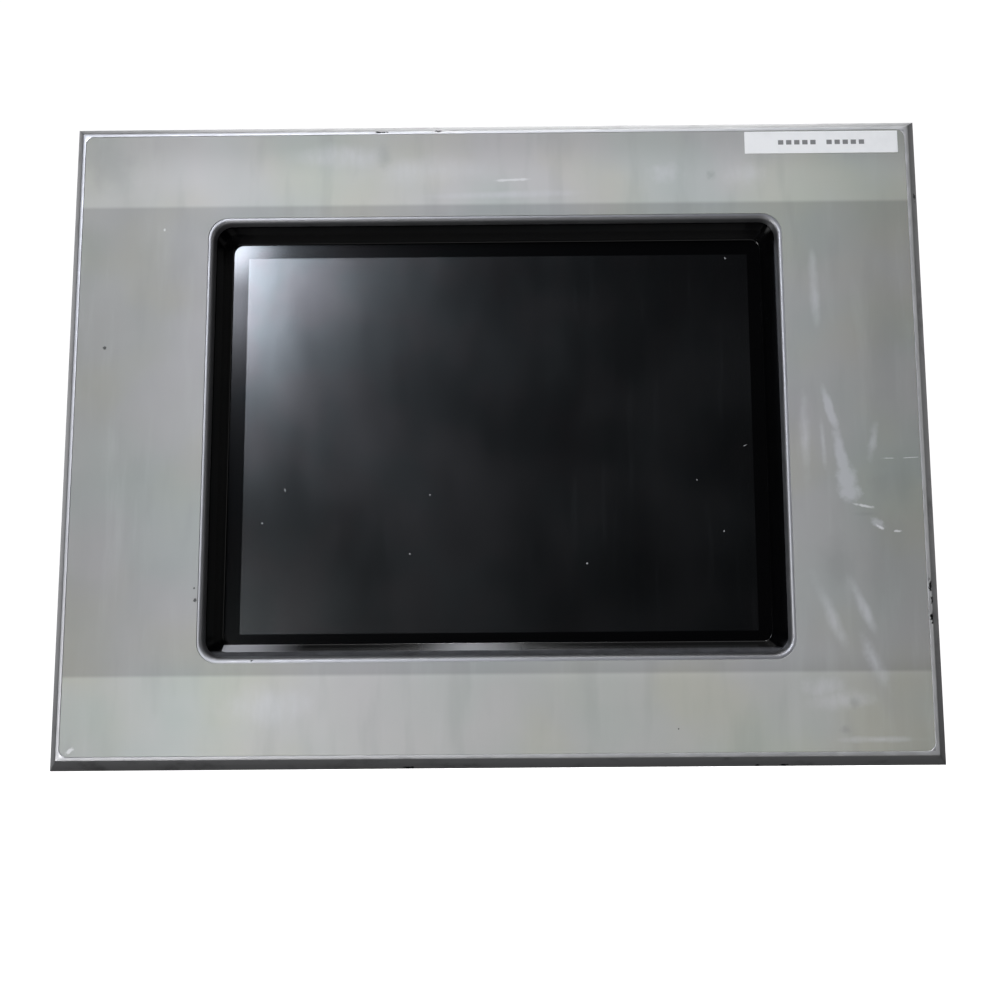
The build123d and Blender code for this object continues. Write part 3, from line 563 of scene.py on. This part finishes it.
def plate_paint():
    """Metallised film with a printed border and blank fields."""
    p = Paint("plate_film", (0.6, 0.6, 0.61), 0.35, 0.4)
    low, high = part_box("rating_plate")
    middle = (low + high) / 2
    x = p.math("ABSOLUTE", p.math("SUBTRACT", p.split("X"), middle.x))
    z = p.math("SUBTRACT", p.split("Z"), middle.z)
    wide, tall = (high.x - low.x) / 2, (high.z - low.z) / 2
    edge = p.math("MINIMUM", p.math("SUBTRACT", wide, x),
                  p.math("SUBTRACT", tall, p.math("ABSOLUTE", z)))
    frame_line = p.math("MULTIPLY", p.math("GREATER_THAN", edge, 1.2 * MM),
                        p.math("LESS_THAN", edge, 1.6 * MM))
    rules = p.math("LESS_THAN", p.math("FRACT", p.math("MULTIPLY", z, 1 / (5.2 * MM))), 0.06)
    rules = p.math("MULTIPLY", rules, p.math("GREATER_THAN", edge, 1.6 * MM))
    ink = p.math("MAXIMUM", frame_line, rules)
    brushed = p.noise(0.6 * MM, 3.0, 0.6, p.stretched(0.05, 1.0, 1.0))
    silver = p.mix(p.span(brushed, 0.3, 0.7), (0.52, 0.52, 0.53), (0.64, 0.64, 0.65))
    p.set("Base Color", p.mix(ink, silver, (0.05, 0.05, 0.055)))
    p.bump(brushed, 0.01 * MM, 0.4)
    return p.material


def make_paints():
    """One material for each of the record's material slots."""
    grained = grained_paint
    steel = dict(metallic=1.0)
    return {
        "frame_aluminium": aluminium_paint(),
        "overlay": overlay_paint(),
        "label": label_paint(),
        "black_gloss": gloss_black_paint(),
        "touch_surface": screen_paint(),
        "housing_grey": housing_paint(),
        "plate_silver": plate_paint(),
        "rubber_seal": grained("seal_rubber", (0.012, 0.012, 0.012), (0.03, 0.03, 0.03),
                               0.7, 0.3, 0.02),
        "display_glass": grained("display_glass", (0.02, 0.025, 0.025),
                                 (0.03, 0.035, 0.035), 0.08, 5.0, 0.002),
        "clear_acrylic": grained("clear_acrylic", (0.7, 0.75, 0.75), (0.8, 0.82, 0.82),
                                 0.12, 5.0, 0.002),
        "pressed_steel": grained("pressed_steel", (0.50, 0.51, 0.52), (0.60, 0.60, 0.60),
                                 0.35, 0.4, 0.01, **steel),
        "white_plastic": grained("white_plastic", (0.78, 0.78, 0.75), (0.70, 0.70, 0.67),
                                 0.5, 0.4, 0.01),
        "lamp_glass": grained("lamp_glass", (0.85, 0.85, 0.80), (0.75, 0.75, 0.70), 0.15,
                              2.0, 0.004),
        "zinc_steel": grained("zinc_steel", (0.60, 0.60, 0.58), (0.48, 0.48, 0.45), 0.32,
                              0.3, 0.01, **steel),
        "black_screws": grained("black_screws", (0.05, 0.05, 0.055), (0.10, 0.10, 0.10),
                                0.38, 0.3, 0.01, metallic=0.8),
        "circuit_board": grained("circuit_board", (0.015, 0.12, 0.05), (0.02, 0.16, 0.07),
                                 0.35, 1.5, 0.02),
        "chip_black": grained("chip_black", (0.02, 0.02, 0.02), (0.03, 0.03, 0.03), 0.6,
                              0.3, 0.02),
        "heatsink_aluminium": grained("heatsink_aluminium", (0.06, 0.06, 0.065),
                                      (0.09, 0.09, 0.095), 0.45, 0.3, 0.01, metallic=0.7),
        "cell_steel": grained("cell_steel", (0.70, 0.70, 0.70), (0.60, 0.60, 0.60), 0.2,
                              0.4, 0.005, **steel),
        "dark_plastic": grained("dark_plastic", (0.022, 0.022, 0.024),
                                (0.035, 0.035, 0.036), 0.45, 0.3, 0.015),
        "flex_film": grained("flex_film", (0.42, 0.20, 0.03), (0.50, 0.26, 0.05), 0.3,
                             1.0, 0.004),
        "port_metal": port_paint(),
        "nickel_brass": grained("nickel_brass", (0.62, 0.59, 0.52), (0.52, 0.49, 0.42),
                                0.28, 0.4, 0.006, **steel),
        "terminal_green": grained("terminal_green", (0.02, 0.20, 0.075),
                                  (0.03, 0.25, 0.10), 0.45, 0.3, 0.012),
        "button_orange": grained("button_orange", (0.72, 0.18, 0.015), (0.62, 0.15, 0.02),
                                 0.4, 0.3, 0.01),
        "card_plastic": grained("card_plastic", (0.018, 0.022, 0.045),
                                (0.028, 0.032, 0.058), 0.4, 0.3, 0.01),
        "slider_white": grained("slider_white", (0.80, 0.80, 0.77), (0.70, 0.70, 0.66),
                                0.4, 0.3, 0.01),
        "clamp_zinc": grained("clamp_zinc", (0.50, 0.51, 0.51), (0.38, 0.39, 0.39), 0.56,
                              0.5, 0.03, patch=3.0, **steel),
        "clamp_steel": grained("clamp_steel", (0.56, 0.56, 0.54), (0.44, 0.44, 0.42), 0.3,
                               0.4, 0.01, patch=3.0, **steel),
        "pad_plastic": grained("pad_plastic", (0.025, 0.025, 0.025), (0.04, 0.04, 0.04),
                               0.5, 0.3, 0.015),
    }


# ---- the front ----

# the window's polished edge: how far in from the edge, and how deep, in mm
LIP = [(0.0, 0.0), (0.34, 0.01), (0.48, 0.04), (0.64, 0.11), (0.82, 0.24), (0.99, 0.46),
       (1.14, 0.84), (1.35, 2.25)]


def front_frame_piece():
    """The aluminium frame as one ring: sides, rim, recess, window, rib and seal groove."""
    soft = 0.12 * MM
    w, h = HALF_W, HALF_H
    rim_in = BEVEL + RIM
    floor = FRONT_Y + RECESS
    ww, wh = WINDOW_HALF
    body_w, body_h = BODY_HIGH.x, BODY_HIGH.z
    groove = BACK_Y - 1.0 * MM
    groove_out, groove_in = 1.5 * MM, 4.7 * MM
    sharp = 0.15 * MM
    lip_in = 0.12 * MM
    step = 3 * MM
    profile = [
        (w - soft, h - soft, sharp, BACK_Y),
        (w, h, sharp, BACK_Y - soft),
        (w, h, sharp, BACK_Y - EDGE_LAND + soft / 2),
        (w - soft / 3, h - soft / 3, sharp, BACK_Y - EDGE_LAND - soft / 2),
        (w - BEVEL + soft, h - BEVEL + soft, sharp + soft, FRONT_Y + 1.6 * soft),
        (w - BEVEL, h - BEVEL, sharp + soft, FRONT_Y + soft / 2),
        (w - BEVEL - soft, h - BEVEL - soft, sharp + soft, FRONT_Y),
        (w - rim_in + soft / 2, h - rim_in + soft / 2, RECESS_R, FRONT_Y),
        (w - rim_in, h - rim_in, RECESS_R, FRONT_Y + soft / 2),
        (w - rim_in, h - rim_in, RECESS_R, floor),
        (ww + lip_in, wh + lip_in, WINDOW_R, floor),
    ] + [
        (ww - inset * MM, wh - inset * MM, WINDOW_R - WINDOW_R_RATE * inset * MM,
         floor + depth * MM) for inset, depth in LIP
    ] + [
        (*RIB_HALF, RIB_R, FRONT_Y + 2.5 * MM),
        (*RIB_HALF, RIB_R, BACK_Y),
        (body_w - step, body_h - step, 1.0 * MM, BACK_Y),
        (body_w - step, body_h - step, 1.0 * MM, BODY_LOW.y),
        (body_w - soft, body_h - soft, 3.0 * MM, BODY_LOW.y),
        (body_w, body_h, 3.0 * MM, BODY_LOW.y - soft),
        (body_w, body_h, 3.0 * MM, BACK_Y),
        (w - groove_in, h - groove_in, 2.0 * MM, BACK_Y),
        (w - groove_in, h - groove_in, 2.0 * MM, groove),
        (w - groove_out, h - groove_out, 2.6 * MM, groove),
        (w - groove_out, h - groove_out, 2.6 * MM, BACK_Y),
    ]
    piece = ring_piece("front_frame_finished", profile, side_steps=160)
    for v in piece.data.vertices:
        for x, z, half, depth in DENTS:
            away = ((v.co.x - x * MM) ** 2 + (v.co.z - z * MM) ** 2) ** 0.5
            if away < half * MM and v.co.y < FRONT_Y + 1.2 * MM:
                pull = depth * MM * (1 - away / (half * MM)) ** 2
                v.co.y += pull
                v.co.x *= 1 - pull / HALF_W * 0.6
                v.co.z *= 1 - pull / HALF_H * 0.6
    place(piece, "front_frame")
    return piece


def overlay_piece():
    """The film as a thin ring whose cut edges are just rounded."""
    low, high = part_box("overlay_film")
    edge = 0.05 * MM
    ww, wh = (half + edge for half in WINDOW_HALF)
    back = FRONT_Y + RECESS
    profile = [
        (high.x, high.z, RECESS_R, back),
        (high.x, high.z, RECESS_R, low.y + edge),
        (high.x - edge, high.z - edge, RECESS_R, low.y),
        (ww + edge, wh + edge, WINDOW_R, low.y),
        (ww, wh, WINDOW_R, low.y + edge),
        (ww, wh, WINDOW_R, back),
    ]
    piece = ring_piece("overlay_printed", profile)
    place(piece, "overlay_film")
    return piece


def label_piece():
    """The tape as a thin plate with rounded corners."""
    low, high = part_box("asset_label")
    half_w, half_h = (high.x - low.x) / 2, (high.z - low.z) / 2
    edge, corner = 0.04 * MM, 0.15 * MM
    profile = [
        (half_w, half_h, corner, high.y),
        (half_w, half_h, corner, low.y + edge),
        (half_w - edge, half_h - edge, corner, low.y),
    ]
    piece = plate_piece("label_tape", profile)
    middle = (low + high) / 2
    piece.data.transform(Matrix.Translation((middle.x, 0, middle.z)))
    place(piece, "asset_label")
    return piece


# the black insert's wall: y, and how far it stands in from the window's edge, in mm
WELL = [(-2.9, 1.35), (-2.75, 1.32), (-2.4, 1.42), (-0.1, 2.16), (0.1, 2.26), (0.35, 2.42),
        (2.75, 3.64), (2.92, 3.74), (3.0, 3.90)]


def bezel_piece():
    """The black insert: two sloping facets with mitred corners, and a flange behind."""
    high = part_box("display_bezel")[1]
    ww, wh = WINDOW_HALF
    inside = [(ww - inset * MM, wh - inset * MM, WINDOW_R - WINDOW_R_RATE * inset * MM,
               y * MM) for y, inset in WELL]
    profile = inside + [
        (high.x, high.z, 3.0 * MM, 3.0 * MM),
        (high.x, high.z, 3.0 * MM, -2.9 * MM),
    ]
    piece = ring_piece("screen_well_insert", profile)
    place(piece, "display_bezel")
    return piece


def seal_piece():
    """The seal: a ring of rubber with a rounded back."""
    low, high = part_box("panel_seal")
    wide, crown, steps = 3.0 * MM, 0.9 * MM, 8
    corner, corner_in, taper = 2.5 * MM, 2.1 * MM, 0.13
    shoulder = high.y - crown
    profile = [(high.x, high.z, corner, low.y), (high.x, high.z, corner, shoulder)]
    for i in range(1, steps):
        turn = pi * i / steps
        inset = wide / 2 * (1 - cos(turn))
        profile.append((high.x - inset, high.z - inset,
                        corner - taper * inset,
                        shoulder + crown * sin(turn)))
    profile += [(high.x - wide, high.z - wide, corner_in, shoulder),
                (high.x - wide, high.z - wide, corner_in, low.y)]
    piece = ring_piece("panel_seal_rounded", profile)
    place(piece, "panel_seal")
    return piece


# ---- screws with real threads ----

# a clamp screw's head: its height, the floor of its socket above its foot, the knurls
# round it, half the socket's width across its flats
HEAD, SOCKET_FLOOR, KNURLS, SOCKET_HALF = 4.0 * MM, 1.5 * MM, 48, 1.5 * MM


def clamp_screw_piece(i):
    """A socket-head clamp screw with its thread, at the CAD screw's place."""
    node = f"clamp_screw_{i}"
    low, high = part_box(node)
    at = ((low.x + high.x) / 2, (low.z + high.z) / 2)
    head_r = (high.x - low.x) / 2
    head_low = high.y - HEAD
    bm = bmesh.new()
    thread(bm, at, 1.95 * MM, low.y, head_low)
    soft, grip = 0.35 * MM, 0.12 * MM
    loops = []
    for r, y, groove in ((head_r - soft, head_low, 0.0), (head_r, head_low + soft, grip),
                         (head_r, high.y - soft, grip), (head_r - soft, high.y, 0.0)):
        radii = [r - groove * (k % 2) for k in range(KNURLS)]
        loops.append((radii, y))
    turns = [tau * k / KNURLS for k in range(KNURLS)]
    socket = [SOCKET_HALF / cos((a + pi / 6) % (pi / 3) - pi / 6) for a in turns]
    loops += [(socket, high.y), (socket, head_low + SOCKET_FLOOR)]
    join_and_cap(bm, rows_of(bm, [
        [(at[0] + r * cos(a), y, at[1] + r * sin(a)) for r, a in zip(radii, turns)]
        for radii, y in loops]))
    piece = finish_mesh(bm, f"clamp_screw_{i}_threaded")
    place(piece, node)
    return piece


def earth_stud_piece():
    """The earth stud: a hexagonal collar and a threaded end."""
    low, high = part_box("earth_stud")
    at = ((low.x + high.x) / 2, (low.z + high.z) / 2)
    wall = BODY_HIGH.y
    collar = wall + 2.2 * MM
    bm = bmesh.new()
    stud_r, half_flats = 2.0 * MM, 3.5 * MM
    thread(bm, at, stud_r, collar, high.y)
    round_rod(bm, [(stud_r, low.y), (stud_r, wall)], at)
    radius = half_flats / cos(pi / 6)
    soft = 0.3 * MM
    round_rod(bm, [(radius, wall), (radius, collar - soft), (radius - soft, collar)], at, 6)
    piece = finish_mesh(bm, "earth_stud_threaded")
    place(piece, "earth_stud")
    return piece


# ---- putting it together ----

SOFT_EDGES = {
    0.35: ["rear_cover"],
    0.25: ["option_plate", "clamp_brackets", "lan_port", "power_header", "power_plug",
           "memory_card", "card_slot", "mode_switch"],
    0.15: ["usb_host_port", "cover_screws", "port_jack_screws", "rating_plate"]
    + [f"clamp_pad_{i}" for i in range(1, 5)],
    0.2: [f"release_button_{i}" for i in range(1, 4)]
    + [f"mode_slider_{i}" for i in range(1, 5)],
    0.1: ["serial_port_9", "serial_port_25"],
}


def build_pieces():
    """New pieces by the CAD node that each stands for."""
    made = {
        "front_frame": front_frame_piece(),
        "overlay_film": overlay_piece(),
        "asset_label": label_piece(),
        "display_bezel": bezel_piece(),
        "panel_seal": seal_piece(),
        "earth_stud": earth_stud_piece(),
    }
    for i in range(1, 5):
        made[f"clamp_screw_{i}"] = clamp_screw_piece(i)
    for width, names in SOFT_EDGES.items():
        for node in names:
            made[node] = softened(node, width * MM)
    return made


def dress(made):
    """Gives each new piece and each carried-over CAD node its slot's material."""
    paints = make_paints()
    for entry in frame["record"]["subparts"]:
        node, slot = entry["node"], entry["material_slot"]
        piece = made.get(node, frame["nodes"][node])
        piece.data.materials.clear()
        piece.data.materials.append(paints[slot])


# ---- studio ----

def area_light(name, at, size, power, colour):
    """A soft rectangular light that faces the panel's middle."""
    lamp = bpy.data.lights.new(name, "AREA")
    lamp.shape, lamp.size, lamp.size_y = "RECTANGLE", *size
    lamp.energy, lamp.color = power, colour
    light = bpy.data.objects.new(name, lamp)
    light.location = at
    light.rotation_euler = (Vector() - Vector(at)).to_track_quat("-Z", "Y").to_euler()
    bpy.context.scene.collection.objects.link(light)


def backdrop():
    """A pale floor that curves up all round. It lights nothing, so the gloss stays black."""
    floor_z = FRAME_LOW.z - 0.16
    flat_r, bend, wall_top, steps = 1.4, 0.8, 3.5, 96
    turns = [pi / 2 * i / 16 for i in range(17)]
    profile = ([(0.02, 0.0)]
               + [(flat_r + bend * sin(a), bend * (1 - cos(a))) for a in turns]
               + [(flat_r + bend, wall_top)])
    bm = bmesh.new()
    rows = rows_of(bm, [[(r * cos(tau * i / steps), r * sin(tau * i / steps), floor_z + z)
                         for i in range(steps)] for r, z in profile])
    join_rows(bm, rows)
    bm.faces.new(rows[0])
    stage = finish_mesh(bm, "studio_floor", 60)
    p = Paint("studio_floor", (0.5, 0.5, 0.5), 0.9)
    p.set("Emission Color", (1.0, 1.0, 1.0, 1.0))
    p.set("Emission Strength", 1.0)
    p.set("Base Color", p.mix(p.noise(0.4), (0.50, 0.50, 0.50), (0.51, 0.51, 0.51)))
    stage.data.materials.append(p.material)
    stage.visible_glossy = stage.visible_diffuse = stage.visible_shadow = False


def studio():
    scene = bpy.context.scene
    scene.view_settings.view_transform = "Standard"
    world = bpy.data.worlds.new("studio")
    world.use_nodes = True
    sky = world.node_tree.nodes["Background"]
    sky.inputs["Color"].default_value = (0.95, 0.97, 1.0, 1.0)
    sky.inputs["Strength"].default_value = 0.015
    scene.world = world
    for name, at, size, power in LIGHTS:
        area_light(name, at, size, power, DAYLIGHT if name == "window" else WHITE)


DAYLIGHT, WHITE = (0.94, 0.98, 1.08), (1, 1, 1)
# soft light sources: name, place in metres, size, power in watts
LIGHTS = [
    ("window", (-0.43, -0.95, 0.42), (0.30, 0.30), 7.0),
    ("low_left_near", (-0.40, -0.40, -0.28), (0.2, 0.2), 1.1),
    ("low_left_far", (-0.46, -0.90, -0.16), (0.2, 0.2), 1.7),
    ("top", (-0.1, -0.5, 1.2), (0.9, 0.6), 2.2),
    ("lamp", (-0.06, -0.62, 0.93), (0.10, 0.14), 1.3),
    ("right", (1.0, -0.6, 0.1), (0.6, 0.8), 0.9),
    ("below", (0.0, -0.5, -1.0), (0.8, 0.5), 1.0),
    ("rear_left", (-1.1, 1.1, 0.3), (0.8, 0.8), 2.6),
    ("rear_right", (1.1, 1.1, 0.3), (0.8, 0.8), 1.2),
    ("rear_top", (0.0, 1.0, 1.0), (0.9, 0.9), 8.0),
    ("rear", (0.1, 1.5, 0.2), (0.7, 0.7), 9.0),
]


# The camera stands a little below the panel's axis and looks up at it.
CAMERA_AT = (11.3 * MM, -296.5 * MM, -44.7 * MM)
CAMERA_TURN, CAMERA_TILT, CAMERA_ROLL = 0.3, 98.43, -0.45
CAMERA_LENS, CAMERA_SHIFT = 46.46, (-0.0384, -0.0608)


def camera():
    data = bpy.data.cameras.new("view")
    data.lens, data.sensor_width = CAMERA_LENS, 36.0
    data.shift_x, data.shift_y = CAMERA_SHIFT
    data.clip_start = 0.01
    eye = bpy.data.objects.new("view", data)
    turn = [Matrix.Rotation(radians(a), 4, axis) for a, axis in
            ((CAMERA_TURN, "Z"), (CAMERA_TILT, "X"), (CAMERA_ROLL, "Z"))]
    eye.matrix_world = Matrix.Translation(CAMERA_AT) @ turn[0] @ turn[1] @ turn[2]
    bpy.context.scene.collection.objects.link(eye)
    bpy.context.scene.camera = eye


camera()
dress(build_pieces())
studio()
backdrop()
